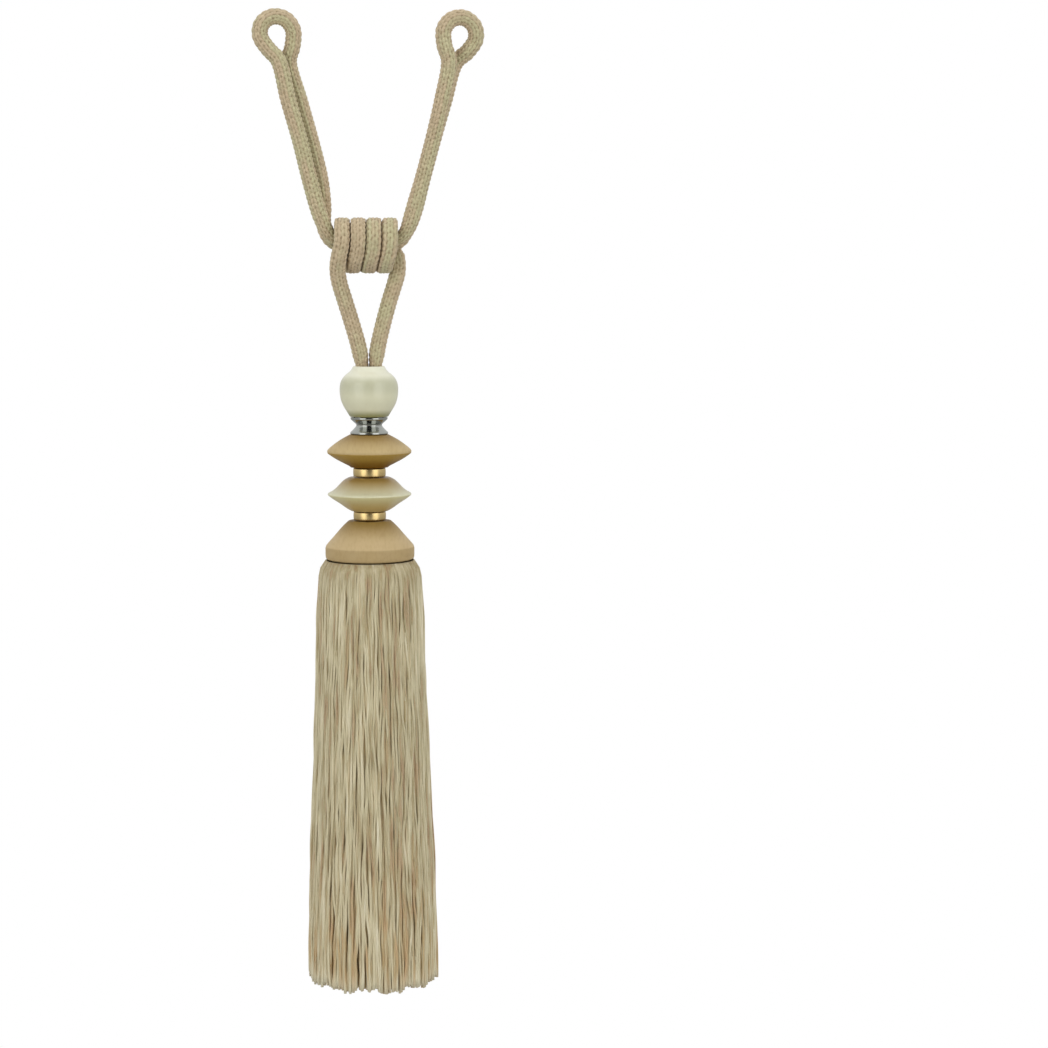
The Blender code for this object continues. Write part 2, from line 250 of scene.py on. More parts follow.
@dataclass(frozen=True)
class KnitFinish(Finish):
    """Matte plied yarn of a knitted cord, read from the cord's own map of its stitches."""

    legs: int  # stitch legs round the cord
    rows: int  # stitches along it
    face: Colour = (0.65, 0.56, 0.35)
    # painted shade for the grooves between stitches, and the dark of the random flecks and stitches
    painted_shade_and_fleck: Colour = (0.30, 0.21, 0.11)
    warm: Colour = (0.64, 0.48, 0.31)
    cool: Colour = (0.60, 0.58, 0.33)
    crease_shade: Colour = (0.17, 0.09, 0.03)  # painted shade, where another run of cord lies against it
    waver: float = 0.9  # how far the stitches' shading strays from their outlines
    drift_grain: float = 80.0  # grain of each kind of unevenness, in one over metres
    fleck_grain: float = 620.0
    waver_grain: float = 900.0
    fibre_grain: float = 2600.0
    ply_depth: float = 0.06 * MM
    fibre_depth: float = 0.05 * MM

    def write(self, shader: ShaderWriter) -> None:
        """Writes the knitted yarn's nodes."""
        round_all, along_all = shader.tube_map()
        across = round_all * self.legs
        along = along_all * self.rows
        places = shader.places()
        waver = shader.noise(places, self.waver_grain) * self.waver + (-self.waver / 2)
        crown = (across + waver).hump() * 0.6 + (along + waver).hump() * 0.4
        stitch = shader.lottery(across.whole() * 7.31 + along.whole() * 3.77)
        fibre = shader.noise(places, self.fibre_grain, 3.0)
        wale = shader.lottery((across * 0.5).whole() + 3.0)
        drift = shader.noise(places, self.drift_grain) * 0.7 + wale * 0.3
        tone = shader.blend(drift.between(0.38, 0.62), self.cool, self.warm)
        tone = shader.blend(0.35, tone, self.face)
        fleck = shader.noise(places, self.fleck_grain).between(0.3, 0.7)
        # painted shade: the grooves between the stitches' legs and rows are darkened in colour
        painted_groove_shade = 1.0 - crown.between(0.05, 0.75)
        tone = shader.blend(painted_groove_shade * (fleck * 0.7 + 0.45), tone, self.painted_shade_and_fleck)
        tone = shader.blend(fleck * 0.25, tone, self.painted_shade_and_fleck)
        tone = shader.blend(stitch * 0.14, tone, self.painted_shade_and_fleck, how="MULTIPLY")
        tone = shader.blend(fibre.between(0.3, 0.8) * 0.18, tone, HAIR)
        crowded = shader.node("Attribute", {"attribute_name": CROWDED}, output="Fac")
        # painted shade where another run of cord lies close
        tone = shader.blend(crowded * 0.7, tone, self.crease_shade)
        ply = (across.part() * 1.5 + along.part() * 2.0).wave() * 0.5 + 0.5
        relief = ply * self.ply_depth + fibre * self.fibre_depth
        shader.surface(Base_Color=tone, Normal=shader.bump(relief), Roughness=0.86, Sheen_Weight=0.22,
                       Sheen_Roughness=0.5, Specular_IOR_Level=0.2)


@dataclass(frozen=True)
class SkirtFinish(Finish):
    """Soft two-ply yarn, each strand with a shade of its own that drifts down its length."""

    strands: int
    length: float
    seed: int
    gap_shade_share: float  # how far the shades lean to the deep one, a painted shade, for a hidden sleeve
    shades: tuple[tuple[float, Colour], ...] = (
        (0.0, (0.30, 0.19, 0.09)), (0.16, (0.52, 0.375, 0.22)), (0.3, (0.46, 0.38, 0.21)),
        (0.5, (0.59, 0.52, 0.33)), (0.75, (0.69, 0.61, 0.40)), (1.0, (0.82, 0.75, 0.56)),
    )
    root: Colour = (0.27, 0.19, 0.075)  # painted shade that the roots lean to, where the cap shades them
    deep: Colour = (0.56, 0.395, 0.19)  # painted shade: the warm brown of the shaded gaps between the outer yarns
    rust: Colour = (0.66, 0.43, 0.20)  # streaks near the hem
    tip: Colour = (0.86, 0.80, 0.60)
    lock_grain: float = 250.0  # grain round the skirt, in one over metres
    streak_grain: float = 620.0
    fibre_grain: float = 4200.0
    ply_pitch: float = 2.4 * MM
    ply_depth: float = 0.05 * MM

    def write(self, shader: ShaderWriter) -> None:
        """Writes the soft yarn's nodes."""
        round_all, along = shader.tube_map()
        across = round_all * self.strands
        own = shader.lottery(across.whole() + self.seed)
        places = shader.places()
        lock = shader.noise(shader.stretched(places, (1.0, 1.0, 0.12)), self.lock_grain)
        streak = shader.noise(shader.stretched(places, (1.0, 1.0, 0.10)), self.streak_grain)
        fibre = shader.noise(shader.stretched(places, (1.0, 1.0, 0.35)), self.fibre_grain)
        pick = own * 0.32 + lock.between(0.35, 0.65) * 0.4 + streak.between(0.34, 0.66) * 0.28
        tone = shader.node("ValToRGB", {"stops": self.shades}, {0: pick})
        tone = shader.blend(fibre.between(0.35, 0.75) * 0.16, tone, HAIR)
        dull = (1.0 - pick).between(0.35, 0.75)
        tone = shader.blend(dull * along.between(0.6, 0.95) * 0.45, tone, self.rust)
        tone = shader.blend(along.between(0.93, 1.0) * 0.6, tone, self.tip)
        # painted shade: hidden sleeves lean to the warm brown of the shaded gaps
        tone = shader.blend(self.gap_shade_share, tone, self.deep)
        # painted shade on the roots, just under the cap
        tone = shader.blend(along.between(0.0, 0.09), shader.blend(0.5, tone, self.root), tone)
        twist = across.part() * 2.0 + along * (self.length / self.ply_pitch)
        relief = twist.hump() * self.ply_depth + fibre * (self.ply_depth * 0.5)
        shader.surface(Base_Color=tone, Normal=shader.bump(relief), Roughness=0.72,
                       Sheen_Weight=0.15, Sheen_Roughness=0.4, Specular_IOR_Level=0.3)


@dataclass(frozen=True)
class Shades:
    """Colours of a turned face, from near its axis out to its rim, part the finish's own colour and part
    painted light and shade.
    """

    core: Colour
    rim: Colour
    core_radius: float  # millimetres from the axis: all core colour inside this
    rim_radius: float  # and all rim colour outside this

    def at(self, radius: Value) -> Value:
        """Returns the colour at a radius, which is in metres."""
        outwards = radius.between(self.core_radius * MM, self.rim_radius * MM)
        return radius.writer.blend(outwards, self.core, self.rim)


@dataclass(frozen=True)
class LacquerFinish(Finish):
    """Satin lacquer or wax on turned wood, deeper in colour towards the bore than at the rim, part its own
    colour and part painted shade, with other colours, painted light and shade, on the faces below the
    widest line.
    """

    # painted light and shade: one lacquer in colours for faces above and below the widest line
    upper: Shades
    lower: Shades
    widest_z: float  # height where the lower colours, painted light and shade, take over from the upper
    roughness: float = 0.5
    coat: float = 0.04
    grain: float = 0.14  # how far the wood's grain shows, 0 to 1
    specular: float = 0.2
    turn: float = 0.25 * MM  # how far above and below the widest line they change over
    grain_tint: Colour = (0.55, 0.42, 0.25)
    mottle_tint: Colour = (0.75, 0.70, 0.55)
    stroke_grain: float = 900.0
    mottle_grain: float = 130.0
    turning_pitch: float = 0.55 * MM
    turning_depth: float = 0.02 * MM

    def write(self, shader: ShaderWriter) -> None:
        """Writes the lacquer's nodes."""
        places = shader.places()
        flat = {0: shader.flattened(places)}
        radius = shader.node("VectorMath", {"operation": "LENGTH"}, flat, output="Value")
        above = shader.axis(places, "Z").between(self.widest_z - self.turn, self.widest_z + self.turn)
        # painted light and shade: faces below the widest line take the lower colours
        tone = shader.blend(above, self.lower.at(radius), self.upper.at(radius))
        strokes = shader.noise(shader.stretched(places, (1.0, 0.12, 0.5)), self.stroke_grain, 4.0)
        mottle = shader.noise(places, self.mottle_grain)
        tone = shader.blend(strokes.between(0.42, 0.72) * self.grain, tone, self.grain_tint, how="MULTIPLY")
        tone = shader.blend(mottle.between(0.35, 0.7) * 0.10, tone, self.mottle_tint, how="MULTIPLY")
        turning = (radius * (1.0 / self.turning_pitch)).wave() * 0.5 + 0.5
        relief = turning * (self.turning_depth * 0.4) + strokes * (self.turning_depth * self.grain)
        rough = mottle * 0.12 + (self.roughness - 0.06)
        shader.surface(Base_Color=tone, Roughness=rough, Normal=shader.bump(relief),
                       Coat_Weight=self.coat, Coat_Roughness=0.18, Specular_IOR_Level=self.specular)


@dataclass(frozen=True)
class MetalFinish(Finish):
    """Polished metal with faint lathe lines and a little tarnish in its polish."""

    colour: Colour
    tarnish: Colour
    roughness: float
    cloud_grain: float = 260.0
    lines_grain: float = 9000.0
    lines_depth: float = 0.006 * MM

    def write(self, shader: ShaderWriter) -> None:
        """Writes the metal's nodes."""
        places = shader.places()
        cloud = shader.noise(places, self.cloud_grain, 3.0)
        tone = shader.blend(cloud.between(0.5, 0.8) * 0.35, self.colour, self.tarnish)
        lines = shader.noise(shader.stretched(places, (0.1, 0.1, 1.0)), self.lines_grain)
        rough = cloud * 0.10 + (self.roughness - 0.05)
        normal = shader.bump(lines, self.lines_depth)
        shader.surface(Base_Color=tone, Metallic=1.0, Roughness=rough, Normal=normal)


@dataclass(frozen=True)
class BackdropFinish(Finish):
    """A floor that lights the tassel like pale paper and is seen as plain white."""

    lit: Colour = (0.6, 0.6, 0.59)

    def write(self, shader: ShaderWriter) -> None:
        """Writes the floor's nodes."""
        seen = shader.node("LightPath", output="Is Camera Ray")
        dull = shader.node("BsdfDiffuse", None, {"Color": (*self.lit, 1.0)})
        bright = shader.node("Emission", None, {"Color": (1.0, 1.0, 1.0, 1.0), "Strength": 1.0})
        shader.end(shader.node("MixShader", None, {0: seen, 1: dull, 2: bright}))


# ----- shapes

def put_mesh(name: str, bm: bmesh.types.BMesh, material: bpy.types.Material) -> bpy.types.Object:
    """Puts a finished bmesh into the scene, and frees it.

    Args:
        name: the new object's name.
        bm: its mesh.
        material: its material.

    Returns:
        The object.
    """
    mesh = bpy.data.meshes.new(name)
    bm.to_mesh(mesh)
    bm.free()
    mesh.shade_smooth()
    mesh.materials.append(material)
    made = bpy.data.objects.new(name, mesh)
    bpy.context.collection.objects.link(made)
    return made


def stand_in(piece: bpy.types.Object, slot: Slot, node: str) -> None:
    """Makes a piece stand for a CAD node.

    Args:
        piece: the piece.
        slot: the slot for it; not used.
        node: the CAD node that it replaces.
    """
    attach(piece, BODY)
    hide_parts(node)
    triangles = sum(len(face.vertices) - 2 for face in piece.data.polygons)
    log.info("%s: %d triangles", piece.name, triangles)


@dataclass(frozen=True)
class TubeRoll:
    """Closed tubes that are rolled up side by side from one flat grid.

    They keep the grid's UV map: U runs round one tube after the other, and V from each
    tube's start to its end.
    """

    tubes: int
    sides: int
    rings: int

    def roll(self, place: Callable[[int, float, float], Vector]) -> bmesh.types.BMesh:
        """Makes the tubes.

        Args:
            place: gives the point for a tube's number, the share of the way round it and
                the share of the way along it.

        Returns:
            The tubes' mesh, closed where the function closes them in a point.
        """
        bm = bmesh.new()
        uv_map = bm.loops.layers.uv.new(TUBE_MAP)
        strip = self.sides + 1
        columns = strip * self.tubes - 1
        bmesh.ops.create_grid(bm, x_segments=columns, y_segments=self.rings, size=0.5)
        between = []
        for face in bm.faces:
            middle = face.calc_center_median()
            column = int((middle.x + 0.5) * columns)
            if column % strip == self.sides:
                between.append(face)
                continue
            tube = column // strip
            for loop in face.loops:
                across = ((loop.vert.co.x + 0.5) * columns - tube * strip) / self.sides
                loop[uv_map].uv = ((tube + across) / self.tubes, loop.vert.co.y + 0.5)
        bmesh.ops.delete(bm, geom=between, context="FACES")
        for vert in bm.verts:
            column = round((vert.co.x + 0.5) * columns)
            tube, side = divmod(column, strip)
            vert.co = place(tube, side / self.sides, vert.co.y + 0.5)
        bmesh.ops.remove_doubles(bm, verts=bm.verts, dist=WELD)
        bmesh.ops.recalc_face_normals(bm, faces=bm.faces)
        return bm


class CordLine:
    """A cord's centreline, read at any distance along it, with a frame that doesn't twist."""

    STEP = 0.25 * MM

    def __init__(self, route: Sequence[Vector]) -> None:
        """Draws a smooth curve through the route's points and paces it out evenly."""
        fine = self._smooth(route)
        self.points = self._paced(fine)
        self.length = self.STEP * (len(self.points) - 1)
        before, after = [self.points[0], *self.points], [*self.points[1:], self.points[-1]]
        self.headings = [(end - start).normalized() for start, end in zip(before, after)]
        side = self.headings[0].orthogonal().normalized()
        self.sides: list[Vector] = []
        for heading in self.headings:
            side = (side - heading * side.dot(heading)).normalized()
            self.sides.append(side)

    @staticmethod
    def _smooth(points: Sequence[Vector], steps: int = 24) -> list[Vector]:
        """Reads a centripetal Catmull-Rom curve through points.

        Args:
            points: the points to go through.
            steps: how many pieces each span is cut into.

        Returns:
            The fine line.
        """
        ends = [2 * points[0] - points[1], *points, 2 * points[-1] - points[-2]]
        line = []
        for a, b, c, d in zip(ends, ends[1:], ends[2:], ends[3:]):
            t1 = math.sqrt((b - a).length)
            t2 = t1 + math.sqrt((c - b).length)
            t3 = t2 + math.sqrt((d - c).length)
            for k in range(steps):
                t = t1 + (t2 - t1) * k / steps
                ab = a.lerp(b, t / t1)
                bc = b.lerp(c, (t - t1) / (t2 - t1))
                cd = c.lerp(d, (t - t2) / (t3 - t2))
                early = ab.lerp(bc, t / t2)
                late = bc.lerp(cd, (t - t1) / (t3 - t1))
                line.append(early.lerp(late, (t - t1) / (t2 - t1)))
        line.append(points[-1].copy())
        return line

    def _paced(self, fine: Sequence[Vector]) -> list[Vector]:
        """Returns points a fixed step apart along a fine line."""
        paced = [fine[0].copy()]
        left = self.STEP
        for start, end in zip(fine, fine[1:]):
            span = (end - start).length
            gone = 0.0
            while span - gone >= left:
                gone += left
                paced.append(start.lerp(end, gone / span))
                left = self.STEP
            left -= span - gone
        return paced

    def at(self, distance: float) -> tuple[Vector, Vector, Vector]:
        """Reads the line.

        Args:
            distance: how far along, in metres.

        Returns:
            The centre there, and the two directions across the cord.
        """
        last = len(self.points) - 1.001  # just short of the last point
        place = min(max(distance / self.STEP, 0.0), last)
        index = int(place)
        share = place - index
        centre = self.points[index].lerp(self.points[index + 1], share)
        heading = self.headings[index].lerp(self.headings[index + 1], share).normalized()
        side = self.sides[index].lerp(self.sides[index + 1], share)
        side = (side - heading * side.dot(heading)).normalized()
        return centre, side, heading.cross(side)


def in_metres(table: Triples) -> list[Vector]:
    """Turns millimetre triples into vectors in metres."""
    return [Vector(row) * MM for row in table]


def ramp(value: float, low: float, high: float) -> float:
    """Runs from 0 to 1 as the value goes from low to high."""
    return min(max((value - low) / (high - low), 0.0), 1.0)


# ----- cords

@dataclass
class KnittedCord:
    """A round cord knitted from yarn, with wales of V-shaped stitches along it."""

    name: str
    node: str
    route: list[Vector]
    reach: Callable[[Vector, Vector], float]  # from the centre out, in a direction
    diameter: float = 7.4 * MM
    wales: int = 7
    pitch: float = 2.35 * MM  # one stitch to the next
    wale_relief: float = 0.085  # depth between a stitch's legs, as a share of the radius
    row_relief: float = 0.095  # and between stitches
    wale_power: float = 0.7  # under 1, the legs are plump and the grooves between them narrow
    swell: float = 0.03  # how far the stitches' crowns stand proud of the radius
    lead: float = 1.2 * MM  # how far a stitch's two legs run ahead of its foot
    rings_a_stitch: int = 6
    sides_a_leg: int = 4
    crease_from: float = 0.3 * MM  # full painted crease shade this near another run's surface
    crease_to: float = 1.5 * MM  # and none beyond this
    other_run: float = 12.0 * MM  # further along than this counts as another run
    crowd_step: int = 4  # every how many points of the line nearness is looked for
    path_step: int = 8  # and every how many are taken for its path
    line: CordLine = field(init=False)
    rows: int = field(init=False)

    def __post_init__(self) -> None:
        """Draws the centreline and counts the stitches on it."""
        self.line = CordLine(self.route)
        self.rows = round(self.line.length / self.pitch)

    @property
    def legs(self) -> int:
        """Stitch legs round the cord: two for each wale."""
        return 2 * self.wales

    def surface_point(self, _: int, around: float, along: float) -> Vector:
        """Gives a point of the knitted surface.

        Args:
            around: share of the way round the cord.
            along: share of the way along it.

        Returns:
            The point.
        """
        distance = along * self.line.length
        if along in (0.0, 1.0):
            return self.line.at(distance)[0]
        leg = around * self.legs
        row = along * self.rows
        from_foot = 1.0 - abs((leg % 2.0) - 1.0)
        centre, side, up = self.line.at(distance + self.lead * (from_foot - 0.5))
        between_legs = 1.0 - abs(math.sin(math.pi * leg)) ** self.wale_power
        between_rows = 1.0 - abs(math.sin(math.pi * row))
        relief = self.swell - self.wale_relief * between_legs - self.row_relief * between_rows
        angle = math.tau * around
        outwards = side * math.cos(angle) + up * math.sin(angle)
        return centre + outwards * self.reach(centre, outwards) * (1.0 + relief)

    def mark_crowding(self, bm: bmesh.types.BMesh, cords: Sequence["KnittedCord"]) -> None:
        """Notes in an attribute how closely another run of cord lies against each vertex, for the painted
        shade in the creases.

        Args:
            bm: this cord's mesh, with its UV map.
            cords: every cord, this one among them.
        """
        step = self.crowd_step
        steps = [(cord, index) for cord in cords for index in range(0, len(cord.line.points), step)]
        tree = KDTree(len(steps))
        for number, (cord, index) in enumerate(steps):
            tree.insert(cord.line.points[index], number)
        tree.balance()
        crowded = bm.verts.layers.float.new(CROWDED)
        uv_map = bm.loops.layers.uv[TUBE_MAP]
        touching = self.diameter / 2 + self.crease_from
        clear = self.diameter / 2 + self.crease_to
        for vert in bm.verts:
            along = vert.link_loops[0][uv_map].uv.y * self.line.length
            nearest = clear
            for _, number, distance in tree.find_range(vert.co, clear):
                cord, index = steps[number]
                apart = cord is not self or abs(index * CordLine.STEP - along) > self.other_run
                if apart and distance < nearest:
                    nearest = distance
            vert[crowded] = ramp(nearest, clear, touching)

    def build(self, cords: Sequence["KnittedCord"]) -> None:
        """Args:
            cords: every cord, this one among them.
        """
        roll = TubeRoll(1, self.legs * self.sides_a_leg, self.rows * self.rings_a_stitch)
        bm = roll.roll(self.surface_point)
        self.mark_crowding(bm, cords)
        finish = KnitFinish(f"{self.name}_knit", self.legs, self.rows)
        piece = put_mesh(self.name, bm, finish.make())
        stand_in(piece, Slot.CORD, self.node)
        path = [tuple(point) for point in self.line.points[::self.path_step]]
        tuple(self.line.points[0])
        log.info("%s: %.1f mm long", self.name, self.line.length / MM)


@dataclass
class Embrace:
    """The embrace cord: two doubled arms with an eye each, pressed together in the knot."""

    knot_z: float = -99.33 * MM
    lane_y: float = 3.03 * MM
    lane_z: float = -0.98 * MM  # the front run a little higher than the back run
    full_radius: float = 3.7 * MM
    squeezed_radius: float = 2.95 * MM
    squeezed_to: float = 14.0 * MM  # this far to each side of the knot's middle
    relaxed_from: float = 22.0 * MM
    end_gap: float = 0.3 * MM  # between each of its ends and their meeting place
    middle_x: float = -0.8 * MM  # where they meet
    left_arm: Triples = (
        (-8.0, -3.03, -98.35), (-12.3, -3.05, -98.5), (-16.1, -3.2, -97.0), (-19.1, -3.7, -93.4),
        (-21.1, -3.75, -88.9), (-22.8, -3.5, -84.1), (-26.5, -3.1, -70.6),
        (-30.9, -3.1, -52.4), (-36.0, -3.1, -34.2), (-40.4, -3.1, -16.4),
        (-44.7, -2.6, -11.6), (-48.5, -2.0, -5.6), (-47.7, -1.2, 0.0), (-43.0, 0.0, 3.4),
        (-37.2, 1.2, 2.5), (-33.7, 2.0, -2.2), (-33.9, 2.6, -9.3), (-35.7, 3.1, -16.4),
        (-30.9, 3.1, -34.2), (-25.9, 3.1, -52.4), (-21.6, 3.2, -70.6), (-20.3, 3.5, -83.0),
        (-20.5, 3.85, -89.4), (-19.3, 3.85, -94.6), (-16.5, 3.4, -98.7), (-12.2, 3.05, -100.3),
        (-6.0, 3.03, -100.3),
    )
    right_arm: Triples = (
        (6.0, 3.03, -100.3), (11.0, 3.05, -100.3), (15.0, 3.4, -98.4), (17.8, 3.85, -94.0),
        (20.2, 3.95, -86.6), (25.2, 3.9, -70.6), (30.3, 3.9, -52.4), (35.6, 3.9, -34.2),
        (41.0, 3.8, -16.4), (46.4, 3.1, -11.6), (50.2, 2.3, -5.8), (49.4, 1.2, -0.2),
        (44.7, 0.0, 3.4), (39.0, -1.2, 2.5), (35.4, -2.3, -2.2), (35.6, -3.1, -9.3),
        (37.6, -3.8, -16.4), (34.4, -3.9, -34.2), (30.1, -3.9, -52.4), (25.2, -3.9, -70.6),
        (21.9, -3.9, -83.6), (19.8, -3.85, -90.0), (17.7, -3.7, -94.2), (14.9, -3.3, -97.0),
        (11.4, -3.03, -98.3), (6.5, -3.03, -98.35),
    )

    def reach(self, centre: Vector, _: Vector) -> float:
        """Returns the cord's radius at a point: pressed inside the knot, full outside it."""
        relaxed = ramp(abs(centre.x), self.squeezed_to, self.relaxed_from)
        return self.squeezed_radius + (self.full_radius - self.squeezed_radius) * relaxed

    def cord(self) -> KnittedCord:
        """Returns the embrace cord, from its start in the knot to its end in the knot."""
        middle = Vector((self.middle_x, -self.lane_y, self.knot_z - self.lane_z))
        aside = Vector((self.end_gap, 0.0, 0.0))
        start, end = middle - aside, middle + aside
        route = [start, *in_metres(self.left_arm), *in_metres(self.right_arm), end]
        return KnittedCord("embrace_knit", "embrace_cord", route, self.reach)


@dataclass
class Hanger:
    """The hanger cord: two legs through the beads and four turns round the embrace."""

    embrace: Embrace
    wrapped_radius: float = 3.4 * MM
    full_radius: float = 3.7 * MM
    slim_radius: float = 1.85 * MM
    slim_x: float = 2.15 * MM
    knot_foot: float = -112.0 * MM  # height under which the legs turn from pressed to round
    wrap_room: float = 0.85 * MM  # between a turn and the runs inside it
    wrap_sag: float = 2.4 * MM  # how much slacker the turns hang under the runs
    turns_x: tuple[float, ...] = (-11.8, -4.4, 2.8, 10.1)  # millimetres
    points_a_turn: int = 12
    shift: tuple[float, float] = (0.41, 0.95)  # the shares of a turn where it moves sideways
    pressed_half_width: float = 3.62 * MM  # a turn's section, flattened against the next
    pressed_half_depth: float = 3.45 * MM
    pressed_power: float = 4.2
    funnel: float = 9.0 * MM  # depth of the bead's mouth
    drawn_above: float = 5.6 * MM  # the legs grow slim from here over the bead's top
    drawn_inside: float = 8.0 * MM  # to here under it
    bead_top: float = field(default_factory=lambda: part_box("bead")[1][2])
    left_leg: Triples = (
        (-3.05, 0.0, -156.2), (-4.7, -0.4, -147.0), (-8.1, -1.2, -134.8), (-10.9, -2.2, -125.6),
        (-13.4, -3.6, -117.0), (-14.1, -5.8, -110.8), (-13.3, -9.1, -105.6),
    )
    right_leg: Triples = (
        (13.7, 7.7, -107.2), (13.8, 6.5, -112.2), (12.5, 4.9, -117.4), (9.9, 3.2, -125.6),
        (7.3, 2.0, -134.8), (4.4, 0.8, -147.0), (3.05, 0.0, -156.2),
    )

    def wrap_point(self, turn: int, share: float) -> Vector:
        """Gives the centre of the wrapping cord.

        Args:
            turn: which turn it is on.
            share: how far round that turn, from the front over the top to the back and under.

        Returns:
            The point, which keeps one distance off the nearer run, and a little more below.
        """
        reach = self.embrace.squeezed_radius + self.wrapped_radius + self.wrap_room
        lane_y, lane_z = self.embrace.lane_y, self.embrace.lane_z
        angle = math.pi - math.tau * share
        outwards = Vector((math.cos(angle), math.sin(angle)))
        side = 1.0 if outwards.dot(Vector((lane_y, lane_z))) > 0 else -1.0
        last = len(self.turns_x) - 1
        before = min(turn, last - 1)
        pitch = self.turns_x[before + 1] - self.turns_x[before]
        x = (self.turns_x[turn] + pitch * ramp(share, *self.shift)) * MM
        y = side * lane_y + outwards.x * reach
        sag = self.wrap_sag * max(-outwards.y, 0.0) ** 2
        z = self.embrace.knot_z + side * lane_z + outwards.y * reach - sag
        return Vector((x, y, z))

    def turns(self) -> list[Vector]:
        """Returns the centres of the wrapped turns, to where the cord leaves down the back."""
        last = len(self.turns_x) - 1
        points = []
        for turn in range(last + 1):
            steps = self.points_a_turn if turn < last else self.points_a_turn // 2 + 2
            points += [self.wrap_point(turn, k / self.points_a_turn) for k in range(steps)]
        return points

    def reach(self, centre: Vector, outwards: Vector) -> float:
        """Gives the cord's surface: pressed flat in the knot, round on the legs, slim in the beads.

        Args:
            centre: a point of the centreline.
            outwards: a direction across the cord.

        Returns:
            How far the surface is from the centre that way.
        """
        power = self.pressed_power
        across = (abs(outwards.x) / self.pressed_half_width) ** power
        along = (math.hypot(outwards.y, outwards.z) / self.pressed_half_depth) ** power
        pressed = (across + along) ** (-1.0 / power)
        free = ramp(centre.z, self.knot_foot, self.knot_foot - 2 * self.full_radius)
        width = pressed + (self.full_radius - pressed) * free
        start, end = self.bead_top + self.drawn_above, self.bead_top - self.drawn_inside
        return width + (self.slim_radius - width) * ramp(centre.z, start, end)

    def cord(self) -> KnittedCord:
        """Returns the hanger cord, from the skirt's head round the knot and back."""
        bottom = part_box("hanger_cord")[0][2]
        inside = self.bead_top - self.funnel
        left_end = [
            Vector((-self.slim_x, 0.0, height)) for height in (bottom, inside - self.funnel, inside)
        ]
        right_end = [Vector((-point.x, point.y, point.z)) for point in reversed(left_end)]
        route = [
            *left_end, *in_metres(self.left_leg), *self.turns(), *in_metres(self.right_leg), *right_end,
        ]
        return KnittedCord("hanger_knit", "hanger_cord", route, self.reach)


# ----- turned pieces

@dataclass(frozen=True)
class Corner:
    """A corner of a turned outline, in millimetres, drawn into a curve unless it is crisp."""

    radius: float
    depth: float  # below the piece's top
    crisp: bool = False


CRISP = True
Outline = tuple[tuple[float, ...], ...]  # a row of a Corner's values for each corner


@dataclass(frozen=True)
class TurnedPiece:
    """A bead, disc, ring or cap turned on a lathe, in the place of its CAD node."""

    node: str
    slot: Slot
    material: bpy.types.Material
    outline: Outline
    bore: Outline
    edge: float = 0.28 * MM  # rounding of a crisp corner
    edge_cuts: int = 3
    curved: float = 46.0  # per cent of the sides beside it that a curved corner takes
    curve_cuts: int = 4
    sides: int = 112

    def build(self) -> None:
        """Builds and dresses the piece."""
        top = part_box(self.node)[1][2]
        bm = bmesh.new()
        corners = [Corner(*row) for row in (*self.outline, *self.bore)]
        verts = [bm.verts.new((c.radius * MM, 0.0, top - c.depth * MM)) for c in corners]
        for index, vert in enumerate(verts):
            bm.edges.new((verts[index - 1], vert))
        for crisp, offset, unit, cuts in (
            (CRISP, self.edge, "OFFSET", self.edge_cuts),
            (not CRISP, self.curved, "PERCENT", self.curve_cuts),
        ):
            chosen = [vert for vert, corner in zip(verts, corners) if corner.crisp is crisp]
            bmesh.ops.bevel(
                bm, geom=chosen, offset=offset, offset_type=unit, segments=cuts, affect="VERTICES",
                profile=0.5, material=-1, clamp_overlap=True,
            )
        bmesh.ops.spin(
            bm, geom=bm.verts[:] + bm.edges[:], cent=(0, 0, 0), axis=(0, 0, 1), angle=math.tau,
            steps=self.sides, use_merge=True, use_duplicate=False,
        )
        bmesh.ops.remove_doubles(bm, verts=bm.verts, dist=WELD)
        bmesh.ops.recalc_face_normals(bm, faces=bm.faces)
        stand_in(put_mesh(f"{self.node}_turned", bm, self.material), self.slot, self.node)


